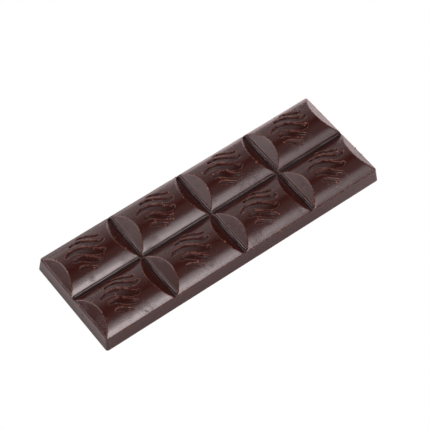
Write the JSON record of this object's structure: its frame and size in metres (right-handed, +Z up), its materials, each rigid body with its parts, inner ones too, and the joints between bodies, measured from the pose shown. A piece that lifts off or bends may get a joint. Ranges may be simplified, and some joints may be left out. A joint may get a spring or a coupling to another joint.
{
  "type": "chocolate bar",
  "caption": "Dark chocolate bar, face up: a drafted slab with rows of vaulted blocks, slanted petal ends, narrow snap grooves and wavy strokes cut in each block.",
  "frame": {"origin": "middle of the flat underside, on the surface that the bar lies on", "axes": "+X along the bar's length, +Y across it, +Z up out of the moulded face"},
  "size_m": [0.1194, 0.0422, 0.0096],
  "materials": {
    "dark_chocolate": "satin, moulded, with worn paler edges and light crumbs"
  },
  "bodies": {
    "root": {"chocolate_bar": "dark_chocolate"}
  },
  "joints": []
}
